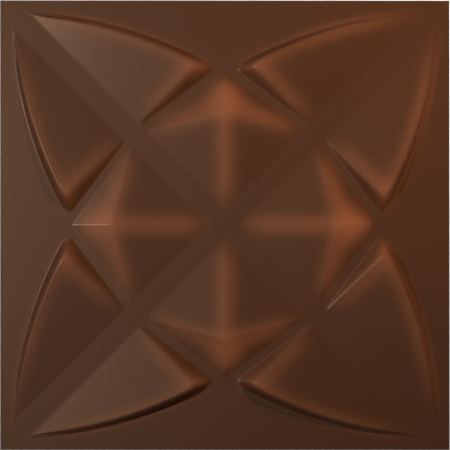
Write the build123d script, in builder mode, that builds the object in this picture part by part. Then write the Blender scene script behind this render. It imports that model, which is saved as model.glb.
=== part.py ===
"""Square wall panel formed from one plastic sheet.

A plan of flat diagonal bands cuts the square into four quarters. Each quarter
carries a faceted kite and, outside a narrow groove, two tilted wings whose outer
walls follow wide arcs. X runs to the right and Y up the face as it hangs, Z comes
out of the face, and the origin is the middle of the back.
"""
import os
from math import atan, cos, degrees, radians, sin, sqrt, tan

from build123d import *

# Sheet, in millimetres
panel_side = 500.0
sheet_thickness = 1.0
relief = 16.0
band_width = 24.5

# Kite, measured along the Y axis from the middle of the panel
kite_tip = 170.6
kite_peak = 127.0
kite_shoulder = 87.0
kite_relief = 11.0
ridge_radius = 8.0

# Wing
groove_width = 10.0
arc_centre = Vector(241.0, -231.5)
arc_radius = 467.4
arc_wall_angle = 70.5
inner_wall_angle = 48.5
nose_radius = 7.5
crest_radius = 4.0

# The forms run on below the face by this much, so that they fade into it cleanly
root_depth = 1.5
mould_depth = 10.0

# Plan lines worked out from the sizes above
band_offset = band_width / sqrt(2)
shoulder = Vector(kite_shoulder, kite_shoulder + band_offset)
kite_edge = (shoulder - Vector(0, kite_tip)).normalized()
kite_outward = Vector(-kite_edge.Y, kite_edge.X)
groove_edge = Vector(0, kite_tip) + kite_outward * groove_width

# The wing's tip is where both of its walls reach the full relief
arc_run = relief / tan(radians(arc_wall_angle))
inner_run = relief / tan(radians(inner_wall_angle))
tip_line = groove_edge + kite_outward * inner_run
to_centre = arc_centre - tip_line
along = to_centre.dot(kite_edge)
across = to_centre.dot(kite_outward)
tip_reach = along - sqrt((arc_radius - arc_run) ** 2 - across**2)
wing_tip = tip_line + kite_edge * tip_reach
wing_rise = (wing_tip.Y - wing_tip.X - band_offset) / sqrt(2)
wing_slope = atan(relief / wing_rise)

facet_plane = Plane(
    origin=(0, band_offset, 0),
    x_dir=(1, 1, 0),
    z_dir=(sin(wing_slope) / sqrt(2), -sin(wing_slope) / sqrt(2), cos(wing_slope)),
)
inner_lean = radians(inner_wall_angle)
inner_plane = Plane(
    origin=(groove_edge.X, groove_edge.Y, 0),
    x_dir=(kite_edge.X, kite_edge.Y, 0),
    z_dir=(-sin(inner_lean) * kite_outward.X, -sin(inner_lean) * kite_outward.Y, cos(inner_lean)),
)

# Wing: a slice of a wide, low cone under two tilted planes. The round of the nose,
# where the two walls meet, comes before the finer round of the crests above it.
with BuildPart() as wing:
    with Locations((arc_centre.X, arc_centre.Y, -root_depth)):
        Cone(
            arc_radius + root_depth / tan(radians(arc_wall_angle)),
            arc_radius - arc_run,
            relief + root_depth,
            align=(Align.CENTER, Align.CENTER, Align.MIN),
        )
    split(bisect_by=facet_plane, keep=Keep.BOTTOM)
    split(bisect_by=inner_plane, keep=Keep.BOTTOM)
    underside = wing.faces().sort_by(Axis.Z)[0]
    nose = (wing.edges() - underside.edges()).sort_by(Axis.X)[0]
    fillet(nose, nose_radius)
    underside = wing.faces().sort_by(Axis.Z)[0]
    facet = wing.faces().sort_by(Axis.Z)[-1]
    fillet(facet.edges() - underside.edges(), crest_radius)

# Kite: a low pyramid whose peak stands towards the outer end
root_scale = (kite_relief + root_depth) / kite_relief
peak = Vector(0, kite_peak)
kite_foot = Vector(0, band_offset)
corners = [Vector(0, kite_tip), shoulder, kite_foot, Vector(-shoulder.X, shoulder.Y)]
with BuildPart() as kite:
    with BuildSketch(Plane.XY.offset(-root_depth)) as kite_root:
        with BuildLine():
            Polyline(*[peak + (corner - peak) * root_scale for corner in corners], close=True)
        make_face()
    loft([kite_root.face(), Vertex(0, kite_peak, kite_relief)], ruled=True)
    underside = kite.faces().sort_by(Axis.Z)[0]
    fillet(kite.edges() - underside.edges(), ridge_radius)

# Mould: a flat block with the four kites and eight wings standing on it
with BuildPart() as mould:
    with BuildSketch(Plane.XY.offset(-mould_depth)):
        Rectangle(panel_side, panel_side)
    extrude(amount=mould_depth)
    with PolarLocations(0, 4):
        add(kite.part)
        add(wing.part)
        add(mirror(wing.part, about=Plane.YZ, mode=Mode.PRIVATE))

# Panel: the sheet that lies on the mould, with the mould taken away
with BuildPart() as wall_panel:
    with Locations((0, 0, sheet_thickness)):
        add(mould.part)
    add(mould.part, mode=Mode.SUBTRACT)

os.makedirs("parts", exist_ok=True)
wall_panel.part.label = "wall_panel"
export_step(wall_panel.part, "parts/wall_panel.step")
print("wing slope", round(degrees(wing_slope), 2), "degrees")
print("wing tip", round(wing_tip.X, 2), round(wing_tip.Y, 2))
print("volume", round(wall_panel.part.volume), "mm3")
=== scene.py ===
# %% [markdown]
# A square wall panel is formed from one thin plastic sheet. The sheet is warmed, drawn down over
# a mould and trimmed, so it is one piece with a hollow back. Then a brown ground coat is sprayed
# on its face, and a rust glow is airbrushed along every raised edge. The CAD model gives the
# place and the size. Here the face gets the soft folds of formed plastic and its paint.

# %% Load the frame
from math import radians, sqrt, tan

import bmesh
import bpy
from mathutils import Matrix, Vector


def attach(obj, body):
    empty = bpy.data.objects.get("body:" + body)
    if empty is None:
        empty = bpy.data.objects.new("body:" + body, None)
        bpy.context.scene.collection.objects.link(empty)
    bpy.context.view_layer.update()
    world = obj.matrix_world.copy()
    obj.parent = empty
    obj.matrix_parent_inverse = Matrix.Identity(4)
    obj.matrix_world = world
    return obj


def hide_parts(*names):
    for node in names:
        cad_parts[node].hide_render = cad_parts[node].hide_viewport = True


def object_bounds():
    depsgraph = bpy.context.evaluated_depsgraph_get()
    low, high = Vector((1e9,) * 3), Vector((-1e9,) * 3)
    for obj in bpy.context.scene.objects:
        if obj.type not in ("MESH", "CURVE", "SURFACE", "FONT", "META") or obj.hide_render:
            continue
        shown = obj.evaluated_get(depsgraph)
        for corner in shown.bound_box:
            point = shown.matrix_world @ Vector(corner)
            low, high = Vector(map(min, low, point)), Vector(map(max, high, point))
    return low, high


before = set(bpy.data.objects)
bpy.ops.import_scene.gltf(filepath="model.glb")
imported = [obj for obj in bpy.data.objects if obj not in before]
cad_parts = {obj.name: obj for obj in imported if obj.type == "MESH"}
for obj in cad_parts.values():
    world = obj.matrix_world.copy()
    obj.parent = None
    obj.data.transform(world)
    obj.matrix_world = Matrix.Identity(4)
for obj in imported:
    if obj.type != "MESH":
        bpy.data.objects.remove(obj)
cad_low, cad_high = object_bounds()
MM = 0.001
print("CAD box in mm", [round(side / MM, 2) for side in cad_high - cad_low])

# %% [markdown]
# Before any mesh, a pattern maker draws the plan. Flat bands on the diagonals cut the square into
# four quarters. A quarter has a kite with a ridge on its axis and, outside a narrow groove, two
# wings that rise from the band towards the axis. All of it is mirrored about the axis and about
# the diagonal, so one eighth of the square holds every line. The sizes are the ones named in the
# CAD model's source, in metres. X runs to the right, Y up the face and Z out of it.

# %% Sizes of the sheet and of its forms
half_side = cad_high.x
sheet_thickness = 1.0 * MM
relief = 16.0 * MM
band_width = 24.5 * MM
kite_relief = 11.0 * MM
kite_tip = Vector((0, 170.6)) * MM
kite_peak = Vector((0, 127.0)) * MM
kite_shoulder = 87.0 * MM
groove_width = 10.0 * MM
arc_centre = Vector((241.0, -231.5)) * MM
arc_radius = 467.4 * MM
arc_wall_slope = tan(radians(70.5))
inner_wall_slope = tan(radians(48.5))

# %% Lines of the plan
up_band = Vector((-1, 1)).normalized()
band_edge = Vector((0, band_width / sqrt(2)))
shoulder = Vector((kite_shoulder, kite_shoulder + band_edge.y))
kite_side = (shoulder - kite_tip).normalized()
kite_outward = Vector((-kite_side.y, kite_side.x))
groove_edge = kite_tip + kite_outward * groove_width


def on_arc(start, radius):
    """The place where a line along the kite's side, through start, meets an arc."""
    across = arc_centre - start
    reach = across.dot(kite_side) - sqrt(radius**2 - across.dot(kite_outward) ** 2)
    return start + kite_side * reach


wing_foot = on_arc(groove_edge, arc_radius)
crest_line = groove_edge + kite_outward * (relief / inner_wall_slope)
wing_tip = on_arc(crest_line, arc_radius - relief / arc_wall_slope)
wing_root = groove_edge + kite_side * (
    (band_edge - groove_edge).dot(up_band) / kite_side.dot(up_band)
)
wing_slope = relief / (wing_tip - band_edge).dot(up_band)
kite_inner_slope = kite_relief / (kite_peak - band_edge).dot(up_band)
kite_outer_slope = kite_relief / (kite_tip - kite_peak).dot(kite_outward)
print("wing tip at", [round(c / MM, 1) for c in wing_tip])
print("wing root at", [round(c / MM, 1) for c in wing_root])
print("slopes of wing and kite", [
    round(s, 3) for s in (wing_slope, kite_inner_slope, kite_outer_slope)
])

# %% [markdown]
# The eighth is drawn flat first, like the plan, and is lifted afterwards. A plane that is
# subdivided into even squares would be simple, but its squares cross the folds at every angle and
# make them ragged. So the mesh gets rows that follow each fold. The most curved fold is the foot
# of the wing's outer wall. A narrow plane is cut into rows and spun about the arc's centre, which
# gives rows that follow the arc exactly.

# %% Helpers that select by place
def edit_mesh():
    return bmesh.from_edit_mesh(bpy.context.edit_object.data)


def select(kind, test):
    """Selects the edges or faces of the open mesh that pass the test, and counts them."""
    bpy.ops.mesh.select_mode(type=kind)
    bpy.ops.mesh.select_all(action="DESELECT")
    mesh = edit_mesh()
    parts = mesh.edges if kind == "EDGE" else mesh.faces
    chosen = [part for part in parts if test(*[corner.co for corner in part.verts])]
    for part in chosen:
        part.select_set(True)
    bmesh.update_edit_mesh(bpy.context.edit_object.data)
    return len(chosen)


# %% Strip along the arc
inside_arc = 10.5 * MM
outside_arc = 3.0 * MM
strip_width = inside_arc + outside_arc
strip_rows = 22
wing_turn = radians(26.0)
wing_steps = 52
nose_turn = radians(5.8)
nose_steps = 40
arc_top = arc_centre.y + arc_radius
bpy.ops.object.select_all(action="DESELECT")
bpy.ops.mesh.primitive_plane_add(
    size=strip_width,
    location=(arc_centre.x + strip_width / 2, arc_top + outside_arc - strip_width / 2, 0),
)
panel = bpy.context.object
panel.name = "formed_sheet"
bpy.ops.object.transform_apply(location=True)
bpy.ops.object.mode_set(mode="EDIT")
select("EDGE", lambda a, b: abs(a.x - b.x) < 1e-6)
bpy.ops.mesh.subdivide(number_cuts=strip_rows - 1)
select("EDGE", lambda a, b: max(a.x, b.x) < arc_centre.x + 1e-6)
spin_centre = (arc_centre.x, arc_centre.y, 0)
for turn, steps in ((wing_turn, wing_steps), (nose_turn, nose_steps)):
    bpy.ops.mesh.spin(steps=steps, angle=-turn, center=spin_centre, axis=(0, 0, 1))
print("faces in the arc strip", len(edit_mesh().faces))

# %% [markdown]
# The strip runs past the axis, so a bisect trims it there. Its outer edge is extruded and squashed
# flat on to the panel's top edge, which makes the flat field. The inside is one large face, from
# the strip down to the middle of the panel. A second bisect trims everything along the diagonal,
# and what is left is exactly one eighth of the square. The area that is printed proves it.

# %% Trim the strip at the axis
def cut(point, normal, test=lambda *corners: True, trim=False):
    """Cuts the chosen faces along an upright plane, and can take the far side away."""
    select("FACE", test)
    bpy.ops.mesh.bisect(
        plane_co=(point.x, point.y, 0),
        plane_no=(normal.x, normal.y, 0),
        clear_outer=trim,
        threshold=1e-7,
    )


middle_point = Vector((0, 0))
cut(middle_point, Vector((-1, 0)), trim=True)
print("faces after the trim", len(edit_mesh().faces))


# %% Flat field outside the strip
def beside_arc(place, offset):
    """True on the strip's edge that lies this far outside the arc, or inside if negative."""
    on_round = abs((place.xy - arc_centre).length - arc_radius - offset) < 2e-6
    on_start = place.x > arc_centre.x - 1e-6 and abs(place.y - arc_top - offset) < 1e-6
    return on_round or on_start


select("EDGE", lambda a, b: beside_arc(a, outside_arc) and beside_arc(b, outside_arc))
bpy.ops.mesh.extrude_region_move(TRANSFORM_OT_translate={"value": (0, outside_arc, 0)})
bpy.ops.transform.resize(value=(1, 0, 1), center_override=(0, half_side, 0))
print("faces with the field", len(edit_mesh().faces))

# %% Large face inside the strip
bpy.ops.mesh.select_mode(type="VERT")
bpy.ops.mesh.select_all(action="DESELECT")
axis_end = min((v for v in edit_mesh().verts if abs(v.co.x) < 1e-6), key=lambda v: v.co.y)
axis_end.select_set(True)
bmesh.update_edit_mesh(panel.data)
bpy.ops.mesh.extrude_vertices_move(TRANSFORM_OT_translate={"value": (0, -axis_end.co.y, 0)})
strip_end = max(
    (v for v in edit_mesh().verts if beside_arc(v.co, -inside_arc)), key=lambda v: v.co.x
)
strip_end.select_set(True)
bmesh.update_edit_mesh(panel.data)
bpy.ops.mesh.edge_face_add()


def round_inside(a, b):
    along_strip = beside_arc(a, -inside_arc) and beside_arc(b, -inside_arc)
    return along_strip or min(a.length, b.length) < 1e-6


select("EDGE", round_inside)
bpy.ops.mesh.edge_face_add()
cut(middle_point, Vector((1, -1)), trim=True)
eighth = sum(face.calc_area() for face in edit_mesh().faces)
print("eighths in the square", round((2 * half_side) ** 2 / eighth, 4))

# %% [markdown]
# Every other fold is a straight line on the plan: the edge of the band, the foot of the kite, the
# foot of the wing's inner wall, the wing's crests and the ridges of the kite. Formed plastic never
# has a knife edge, so each fold gets five or six rows a millimetre or so apart, on which the bend
# can be spread. A bisect with nothing removed cuts such a row. It only cuts faces near the fold,
# so that no row runs on across a flat facet.

# %% Distances from the folds
def from_band(place):
    return (place - band_edge).dot(up_band)


def from_groove(place):
    return (place - groove_edge).dot(kite_outward)


def inside_kite(place):
    return (kite_tip - place).dot(kite_outward)


def inside_wall(place):
    return arc_radius - (place - arc_centre).length


def cut_rows(start, normal, offsets, near_fold, rule=any):
    """Cuts a row at each offset, through faces with any corner, or all, near the fold."""
    def near(*corners):
        return rule(near_fold(corner.xy) for corner in corners)

    for offset in offsets:
        cut(start + normal * offset, normal, near)


# %% Rows along the straight folds
band_bend = 2.4 * MM
kite_foot_bend = 2.0 * MM
wing_foot_bend = 1.6 * MM
five_rows = (-1, -0.5, 0, 0.5, 1)
field_margin = 2 * MM
just_inside = 0.97
just_outside = 1.03


def off_the_field(place):
    return inside_wall(place) > -field_margin


def above_band_edge(place):
    return from_band(place) > -just_inside * band_bend and off_the_field(place)


cut_rows(band_edge, up_band, [band_bend * row for row in five_rows], off_the_field)
cut_rows(
    kite_tip, kite_outward, [kite_foot_bend * row for row in five_rows], above_band_edge
)
cut_rows(
    groove_edge, kite_outward, [wing_foot_bend * row for row in five_rows], above_band_edge
)
print("faces with folded feet", len(edit_mesh().faces))


# %% Rows along the crests and ridges
def square_to(start, end):
    along = (end - start).normalized()
    return Vector((-along.y, along.x))


def on_wing(place):
    return above_band_edge(place) and from_groove(place) > -just_inside * wing_foot_bend


def on_kite(place):
    return above_band_edge(place) and inside_kite(place) > -just_inside * kite_foot_bend


six_rows = (-1, -0.6, -0.2, 0.2, 0.6, 1)
axis_rows = (0.35, 0.9, 1.8, 2.8, 3.9, 5.2)
crest_reach = 4.0 * MM
ridge_reach = 2.6 * MM
over_crest = square_to(wing_root, wing_tip)
over_ridge = square_to(kite_peak, shoulder)
cut_rows(wing_root, over_crest, [crest_reach * row for row in six_rows], on_wing)
cut_rows(kite_peak, over_ridge, [ridge_reach * row for row in six_rows], on_kite)
cut_rows(middle_point, Vector((1, 0)), [MM * row for row in axis_rows], on_kite)
print("faces with crests", len(edit_mesh().faces))

# %% Rows round the wing's nose
nose_along = (wing_tip - wing_foot).normalized()
nose_across = square_to(wing_foot, wing_tip)
nose_step = 1.5 * MM
nose_end = wing_tip + nose_along * 14 * MM
cut_rows(nose_end, nose_along, [0], on_wing)


def in_nose(place):
    before_end = (place - nose_end).dot(nose_along) < 1e-6
    return before_end and from_groove(place) > -just_outside * wing_foot_bend


cut_rows(wing_foot, nose_across, [nose_step * row for row in range(-8, 9)], in_nose, rule=all)
cut_rows(wing_foot, nose_along, [nose_step * row for row in range(1, 24)], in_nose, rule=all)
bpy.ops.object.mode_set(mode="OBJECT")
print("faces in the eighth", len(panel.data.polygons))

# %% [markdown]
# Now the mould. Each of its faces is a slope that starts at zero on its foot line: the wing has a
# gentle facet, an arched outer wall and an inner wall, and it is as high as the lowest of the
# three. Half of a kite is the lower of two facets. A plain minimum would give knife edges, so the
# lower of two slopes is taken with a soft join, and a slope also leaves the flat field softly.
# How far a bend reaches is given as a height. It is small on the ridges of the kite, most of all
# near its peak, larger on the crests of the wing and at the foot of its steep outer wall, and
# largest on the wing's nose, where the two walls meet. Between the bends a facet is a true plane.

# %% Height of the mould
def lower_of(first, second, bend):
    """The lower of two slopes, rounded where they come within this much height of each other."""
    gap = abs(first - second)
    if gap >= bend:
        return min(first, second)
    return min(first, second) - (bend - gap) ** 2 / (4 * bend)


def off_field(height, bend):
    """A slope that leaves the flat field in a soft bend, within this much height of it."""
    if height >= bend:
        return height
    if height <= -bend:
        return 0.0
    return (height + bend) ** 2 / (4 * bend)


def share_of(first, second, bend):
    """How much of the first slope a soft join of the two shows, from 0 to 1."""
    return min(max(0.5 + (second - first) / (2 * bend), 0), 1)


nose_bend = 22.0 * MM
outer_foot_bend = 5.6 * MM
inner_foot_bend = inner_wall_slope * wing_foot_bend
outer_crest_bend = 7.5 * MM
inner_crest_bend = 4.2 * MM
ridge_bend = 1.2 * MM
axis_bend = 0.36 * MM
bend_per_height = 3.5
bend_share_at_foot = 1.25


def wing_height(place):
    facet = off_field(wing_slope * from_band(place), wing_slope * band_bend)
    outer = arc_wall_slope * inside_wall(place)
    inner = inner_wall_slope * from_groove(place)
    outer_share = share_of(outer, inner, nose_bend)
    foot = outer_foot_bend * outer_share + inner_foot_bend * (1 - outer_share)
    walls = off_field(lower_of(outer, inner, nose_bend), foot)
    crest = outer_crest_bend * outer_share + inner_crest_bend * (1 - outer_share)
    return lower_of(facet, walls, min(crest, bend_per_height * min(facet, walls)))


def half_kite_slopes(place):
    return kite_outer_slope * inside_kite(place), kite_inner_slope * from_band(place)


def kite_height(place):
    outer, inner = half_kite_slopes(place)
    other_outer, other_inner = half_kite_slopes(Vector((-place.x, place.y)))
    half = lower_of(outer, inner, ridge_bend)
    other_half = lower_of(other_outer, other_inner, ridge_bend)
    outer_share = share_of(outer, inner, ridge_bend)
    foot = kite_outer_slope * kite_foot_bend * outer_share
    foot = foot + kite_inner_slope * band_bend * (1 - outer_share)
    axis = axis_bend * (bend_share_at_foot - min(half, other_half) / kite_relief)
    return off_field(lower_of(half, other_half, axis), foot)


def mould_height(place):
    return max(wing_height(place), kite_height(place))


print("height at the wing tip in mm", round(mould_height(wing_tip) / MM, 2))
print("height at the kite's peak in mm", round(mould_height(kite_peak) / MM, 2))

# %% [markdown]
# The real sheet sinks on to its mould all at once. The same is done here: the mould's height at
# each point goes into a vertex group, as a share of the whole relief, and one Displace modifier
# lifts the sheet by it. Moving each point in a loop would give the same shape, but the modifier
# keeps the relief as one number that can be tried out before it is applied.

# %% Draw the sheet over the mould
lift = panel.vertex_groups.new(name="lift")
for point in panel.data.vertices:
    share = mould_height(point.co.xy) / relief
    lift.add([point.index], share, "REPLACE")


def apply(kind, **settings):
    """Adds one modifier to the panel, sets it and applies it."""
    modifier = panel.modifiers.new(kind.lower(), kind)
    for name, value in settings.items():
        setattr(modifier, name, value)
    bpy.ops.object.modifier_apply(modifier=modifier.name)


apply("DISPLACE", vertex_group="lift", direction="Z", mid_level=0, strength=relief)
print("highest point of the eighth in mm", round(max(v.co.z for v in panel.data.vertices) / MM, 2))

# %% [markdown]
# Three mirrors turn the eighth into the whole square: one across the diagonal, which needs an
# empty that is turned to it, and then one across each axis. Points on the seams are merged, and
# the normals are made to agree before the sheet gets its thickness. The sheet is extruded straight
# up, as the CAD model's is, so the old face becomes the hollow back and the new one the front.

# %% Mirror the eighth
bpy.ops.object.empty_add(rotation=(0, 0, radians(-45)))
diagonal = bpy.context.object
bpy.ops.object.select_all(action="DESELECT")
panel.select_set(True)
bpy.context.view_layer.objects.active = panel
apply("MIRROR", mirror_object=diagonal, merge_threshold=2e-6)
bpy.data.objects.remove(diagonal)
apply("MIRROR", use_axis=(True, True, False), merge_threshold=2e-6)
panel.vertex_groups.clear()
bpy.ops.object.mode_set(mode="EDIT")
bpy.ops.mesh.select_all(action="SELECT")
bpy.ops.mesh.remove_doubles(threshold=2e-6)
bpy.ops.mesh.normals_make_consistent(inside=False)
if sum(face.normal.z for face in edit_mesh().faces) < 0:
    bpy.ops.mesh.flip_normals()
print("faces in the whole face", len(edit_mesh().faces))

# %% Give the sheet its thickness
bpy.ops.mesh.select_all(action="SELECT")
bpy.ops.mesh.extrude_region_move(TRANSFORM_OT_translate={"value": (0, 0, sheet_thickness)})
bpy.ops.mesh.select_all(action="SELECT")
bpy.ops.mesh.normals_make_consistent(inside=False)
sheet_mesh = edit_mesh()
print("open edges", sum(edge.is_boundary for edge in sheet_mesh.edges))
print("volume in cubic cm", round(sheet_mesh.calc_volume() * 1e6, 2))

# %% [markdown]
# The folds should look round and the facets flat. Smooth shading alone tips the normals at a
# facet's border towards the fold, and the whole facet then looks swollen. A Weighted Normal
# modifier lets the largest face at each point decide, so the bend stays within the fold's own
# rows. The trimmed rim stays sharp.

# %% Shade the folds
bpy.ops.object.mode_set(mode="OBJECT")
bpy.ops.object.shade_smooth_by_angle(angle=radians(40))
apply("WEIGHTED_NORMAL", mode="FACE_AREA", weight=100, keep_sharp=True)
print("triangles", sum(len(face.vertices) - 2 for face in panel.data.polygons))

# %% [markdown]
# The paint is worked out from the plan as well. In the shader every distance is a number that
# changes over the surface, and a chain of Math nodes works with it. Such chains are hard to read
# when each node is added by hand. This small class wraps a socket, so that Python's own plus,
# minus and times add the nodes. Any other node comes from its one method.

# %% A number at every point of the surface
class Spread:
    """One socket of a material, with Python's arithmetic."""

    def __init__(self, tree, socket=None):
        self.tree = tree
        self.socket = socket

    def node(self, kind, settings, inputs, output=0):
        """Adds a node of this kind: its settings first, then the values or links of its sockets."""
        made = self.tree.nodes.new(kind)
        for name, value in settings.items():
            setattr(made, name, value)
        for name, value in inputs.items():
            if isinstance(value, Spread):
                self.tree.links.new(value.socket, made.inputs[name])
            else:
                made.inputs[name].default_value = value
        return Spread(self.tree, made.outputs[output] if made.outputs else None)

    def math(self, operation, *values):
        return self.node("ShaderNodeMath", {"operation": operation}, dict(enumerate(values)))

    def __add__(self, other):
        return self.math("ADD", self, other)

    def __sub__(self, other):
        return self.math("SUBTRACT", self, other)

    def __rsub__(self, other):
        return self.math("SUBTRACT", other, self)

    def __mul__(self, other):
        return self.math("MULTIPLY", self, other)

    def __truediv__(self, other):
        return self.math("DIVIDE", self, other)

    __radd__ = __add__
    __rmul__ = __mul__


def rising(value, start, end):
    """0 before start and 1 after end, with a soft change between them."""
    return value.node(
        "ShaderNodeMapRange",
        {"interpolation_type": "SMOOTHSTEP"},
        {"Value": value, "From Min": start, "From Max": end},
    )


def new_finish(name):
    """A material with no nodes yet, as a start for sums on its surface."""
    material = bpy.data.materials.new(name)
    material.use_nodes = True
    material.node_tree.nodes.clear()
    return material, Spread(material.node_tree)


# %% [markdown]
# The airbrush follows the same lines in every eighth, so the shader folds the panel as one would
# fold a paper star: the larger of the two distances from the axes is how far up the eighth a point
# is, and the smaller is how far it is from the axis. The distances from the plan's lines are then
# the same sums as for the mould. They are in millimetres here.

# %% Fold the face into one eighth
rust_paint, surface = new_finish("rust_glow_paint")
here = surface.node("ShaderNodeTexCoord", {}, {}, "Object")
across = surface.math("ABSOLUTE", surface.node("ShaderNodeSeparateXYZ", {}, {"Vector": here}, "X"))
upward = surface.math("ABSOLUTE", surface.node("ShaderNodeSeparateXYZ", {}, {"Vector": here}, "Y"))
off_axis = surface.math("MINIMUM", across, upward) / MM
up_axis = surface.math("MAXIMUM", across, upward) / MM


def beyond(line_point, direction):
    """How far a point lies beyond a line of the plan, in millimetres."""
    start = line_point.dot(direction) / MM
    return off_axis * direction.x + up_axis * direction.y - start


def stroke(distance, spread):
    """The soft bell of paint that one pass of an airbrush leaves."""
    share = distance / spread
    return surface.math("EXPONENT", share * share * -0.5)


def wide_stroke(distance, low, high, low_spread, high_spread):
    """An even band of paint from low to high, with the soft edge of a bell on each side."""
    below = (low - distance) / low_spread
    above = (distance - high) / high_spread
    past_edge = surface.math("MAXIMUM", below, above)
    return stroke(surface.math("MAXIMUM", past_edge, 0), spread=1)


above_band = beyond(band_edge, up_band)
within_kite = beyond(kite_tip, -kite_outward)
print("nodes for the folded plan", len(rust_paint.node_tree.nodes))

# %% [markdown]
# On the kite the glow is strongest. One pass runs along the ridge on the axis and fades out
# towards the middle of the panel. One runs down each outer ridge and is gone before the shoulder.
# The outer end of the kite is gone over once more, so it is the brightest place on the panel.

# %% Glow on the kite
ridge_paint = 0.51
outer_ridge_paint = 0.58
end_paint = 0.95
ridge_pass = stroke(off_axis, spread=7.4) * rising(up_axis, start=10, end=55) * ridge_paint
ridge_pass = ridge_pass * (1 - rising(up_axis, start=150, end=172))
outer_ridge = (shoulder - kite_peak).normalized()
along_ridge = beyond(kite_peak, outer_ridge)
beside_ridge = beyond(kite_peak, over_ridge)
outer_ridge_pass = stroke(beside_ridge - 5.3, spread=8.2) * outer_ridge_paint
outer_ridge_pass = outer_ridge_pass * (1 - rising(along_ridge, start=61, end=96))
end_pass = stroke(off_axis, spread=14.2) * stroke(up_axis - 143.8, spread=11.8) * end_paint
kite_glow = ridge_pass + outer_ridge_pass + end_pass
kite_glow = kite_glow * rising(within_kite, start=-12, end=21)
print("nodes with the kite", len(rust_paint.node_tree.nodes))

# %% [markdown]
# On the wing one wide pass covers the outer wall and runs over its crest on to the facet. A
# narrower one lies on the facet, just inside the other crest. Both begin at nothing where the wing
# leaves the band and grow towards its tip, and the tip gets one more soft pass of its own.

# %% Glow on the wing
aside = off_axis - arc_centre.x / MM
ahead = up_axis - arc_centre.y / MM
in_from_arc = arc_radius / MM - surface.math("SQRT", aside * aside + ahead * ahead)
beyond_groove = beyond(groove_edge, kite_outward)
arc_paint = 0.65 - above_band * 0.005
inner_paint = 0.30
tip_paint = 0.52
arc_pass = wide_stroke(in_from_arc, low=0.8, high=5.8, low_spread=4.1, high_spread=6.3) * arc_paint
arc_pass = arc_pass * rising(above_band, start=-11, end=77)
arc_pass = arc_pass * rising(beyond_groove, start=3, end=13)
within_crest = beyond(wing_root, -over_crest)
inner_pass = stroke(within_crest - 6.8, spread=6.6) * inner_paint
inner_pass = inner_pass * rising(above_band, start=-4, end=43)
inner_pass = inner_pass * rising(in_from_arc, start=5, end=11)
tip_pass = stroke(off_axis - 14.6, spread=23.2) * stroke(up_axis - 183.2, spread=14.7) * tip_paint
tip_pass = tip_pass * rising(in_from_arc, start=-3, end=6)
tip_pass = tip_pass * rising(beyond_groove, start=-5, end=14)
wing_glow = arc_pass + inner_pass + tip_pass
print("nodes with the wing", len(rust_paint.node_tree.nodes))

# %% [markdown]
# The two coats meet in one colour mix. The ground coat is a dark brown, and the rust has the same
# hue but is five times as light. A pass covers a share of the ground that is still bare, so the
# bare share falls as an exponential and passes that overlap never cover more than all of it.
# Sprayed paint is never quite even, so a fine noise makes the rust slightly patchy and the ground
# slightly cloudy. The sheen is warm, as on a pearl paint. Most of it is broad and satin, and a
# tenth is narrower and draws thin glints along the folds. A very low bump is the orange peel.

# %% Noise, colour mix and bump
def noise(place, scale, detail, roughness):
    """Soft random clouds, smaller where the scale is larger."""
    return place.node(
        "ShaderNodeTexNoise",
        {},
        {"Vector": place, "Scale": scale, "Detail": detail, "Roughness": roughness},
    )


def blend(share, first, second):
    """A colour that passes from the first to the second as the share goes from 0 to 1."""
    return share.node("ShaderNodeMix", {"data_type": "RGBA"}, {0: share, 6: first, 7: second}, 2)


def bump(height, strength):
    return height.node(
        "ShaderNodeBump", {}, {"Height": height, "Strength": strength, "Distance": 0.1 * MM}
    )


clouds = noise(here, scale=45, detail=3, roughness=0.55)
speckle = noise(here, scale=420, detail=2, roughness=0.6)
orange_peel = noise(here, scale=700, detail=1, roughness=0.5)
print("nodes with the noises", len(rust_paint.node_tree.nodes))

# %% Paint of the face
ground_brown = (0.0552, 0.0148, 0.0041, 1)
full_rust = (0.2810, 0.0760, 0.0248, 1)
mottle = 0.02
patchy = 0.88 + clouds * 0.14 + speckle * 0.10
still_bare = surface.math("EXPONENT", (kite_glow + wing_glow) * patchy * -1)
cover = 1 - still_bare + (clouds - 0.5) * mottle + (speckle - 0.5) * mottle
coat = blend(surface.math("MAXIMUM", cover, 0), ground_brown, full_rust)
peel_normal = bump(orange_peel, strength=0.12)
print("nodes with the colour", len(rust_paint.node_tree.nodes))

# %% Sheen of the face
pearl_index = 1.98
pearl_tint = (1.0, 0.63, 0.42, 1)
satin = 0.66 + speckle * 0.05 + clouds * 0.03
glint = satin - 0.44
glint_share = 0.11


def pearl_coat(roughness):
    """The paint with one breadth of sheen."""
    return surface.node(
        "ShaderNodeBsdfPrincipled",
        {},
        {
            "Base Color": coat,
            "Roughness": roughness,
            "IOR": pearl_index,
            "Specular IOR Level": 1.0,
            "Specular Tint": pearl_tint,
            "Normal": peel_normal,
        },
    )


sheen = surface.node(
    "ShaderNodeMixShader", {}, {0: glint_share, 1: pearl_coat(satin), 2: pearl_coat(glint)}
)
surface.node("ShaderNodeOutputMaterial", {}, {"Surface": sheen})
print("nodes in the paint", len(rust_paint.node_tree.nodes))

# %% [markdown]
# The back and the trimmed rim are the bare sheet. It is dyed through in a dark brown, with the
# slightly uneven gloss of plastic that has lain on a mould. Two materials on one mesh are enough:
# every face that looks up takes the paint, and the rest stays bare.

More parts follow.
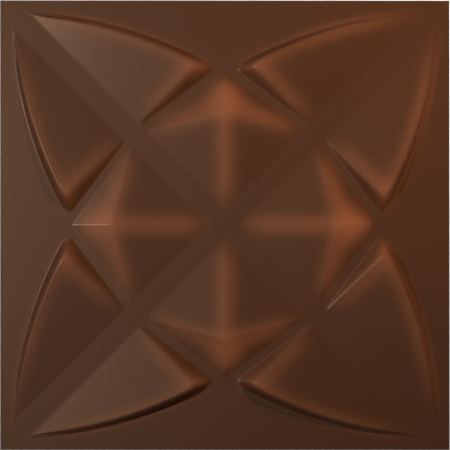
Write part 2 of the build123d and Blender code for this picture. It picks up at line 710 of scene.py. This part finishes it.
# %% Bare plastic of the back
bare_plastic, back = new_finish("bare_brown_sheet")
back_place = back.node("ShaderNodeTexCoord", {}, {}, "Object")
marks = noise(back_place, scale=30, detail=4, roughness=0.6)
grain = noise(back_place, scale=900, detail=1, roughness=0.5)
dark_dye = (0.040, 0.017, 0.008, 1)
light_dye = (0.052, 0.023, 0.012, 1)
sheet_plastic = back.node(
    "ShaderNodeBsdfPrincipled",
    {},
    {
        "Base Color": blend(marks, dark_dye, light_dye),
        "Roughness": 0.42 + marks * 0.16,
        "Normal": bump(grain, strength=0.15),
    },
)
back.node("ShaderNodeOutputMaterial", {}, {"Surface": sheet_plastic})
panel.data.materials.append(rust_paint)
panel.data.materials.append(bare_plastic)
for face in panel.data.polygons:
    face.material_index = 0 if face.normal.z > 0.01 else 1
print("painted faces", sum(face.material_index == 0 for face in panel.data.polygons))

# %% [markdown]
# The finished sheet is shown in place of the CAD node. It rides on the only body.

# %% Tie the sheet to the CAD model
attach(panel, "root")
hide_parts("wall_panel")
print("sheet rides on root")

# %% [markdown]
# The panel lies on a pale studio floor, and the camera looks straight down on it through a long
# lens, which keeps the edges of the square parallel. Two round soft lamps light it. The key lamp
# at the upper right gives most of the light, and the side lamp on the left gives the pale sheen on
# all that leans left. A wide, weak lamp overhead opens the shadows. The key and the overhead lamp
# are left out of the gloss, as polarised lamps are in a copy studio.

# %% Floor
bpy.ops.object.select_all(action="DESELECT")
bpy.ops.mesh.primitive_plane_add(size=14)
floor = bpy.context.object
floor.name = "studio_floor"
floor_paint, ground = new_finish("studio_floor_paint")
floor_white = (0.82, 0.82, 0.82, 1)
matt = ground.node(
    "ShaderNodeBsdfPrincipled", {}, {"Base Color": floor_white, "Roughness": 0.9}
)
ground.node("ShaderNodeOutputMaterial", {}, {"Surface": matt})
floor.data.materials.append(floor_paint)
print("floor side in m", floor.dimensions.x)


# %% Studio lamps
def globe_lamp(name, place, power, radius):
    """A round soft lamp. The camera does not see it."""
    bpy.ops.object.light_add(type="POINT", radius=radius, location=place)
    lamp = bpy.context.object
    lamp.name = name
    lamp.data.energy = power
    lamp.visible_camera = False
    return lamp


key_lamp = globe_lamp("key_lamp", place=(0.324, 0.267, 0.470), power=13.8, radius=0.2)
key_lamp.visible_glossy = False
side_lamp = globe_lamp("side_lamp", place=(-0.511, 0.078, 0.678), power=6.8, radius=0.12)
bpy.ops.object.light_add(type="AREA", location=(0, 0, 0.9))
fill_lamp = bpy.context.object
fill_lamp.name = "fill_lamp"
fill_lamp.data.size = 1.0
fill_lamp.data.energy = 1.75
fill_lamp.visible_camera = False
fill_lamp.visible_glossy = False
print("lamps in W", [lamp.data.energy for lamp in (key_lamp, side_lamp, fill_lamp)])

# %% Pale room
room = bpy.data.worlds.new("studio_room")
room.use_nodes = True
room.node_tree.nodes.clear()
bpy.context.scene.world = room
air = Spread(room.node_tree)
seen = air.node("ShaderNodeLightPath", {}, {}, "Is Camera Ray")
room_white = (0.95, 0.95, 0.95, 1)
room_light = 0.02
backdrop = air.node(
    "ShaderNodeBackground", {}, {"Color": room_white, "Strength": room_light + seen * 0.90}
)
air.node("ShaderNodeOutputWorld", {}, {"Surface": backdrop})
bpy.context.scene.view_settings.view_transform = "Standard"
print("nodes in the room", len(room.node_tree.nodes))

# %% Camera
lens = 400.0
sensor = 36.0
view_width = 501.2 * MM
camera_height = sheet_thickness + view_width * lens / sensor
bpy.ops.object.camera_add(location=(0, 0, camera_height), rotation=(0, 0, 0))
camera = bpy.context.object
camera.data.lens = lens
camera.data.sensor_width = sensor
camera.data.clip_end = 100
bpy.context.scene.camera = camera
print("camera height in m", round(camera_height, 3))
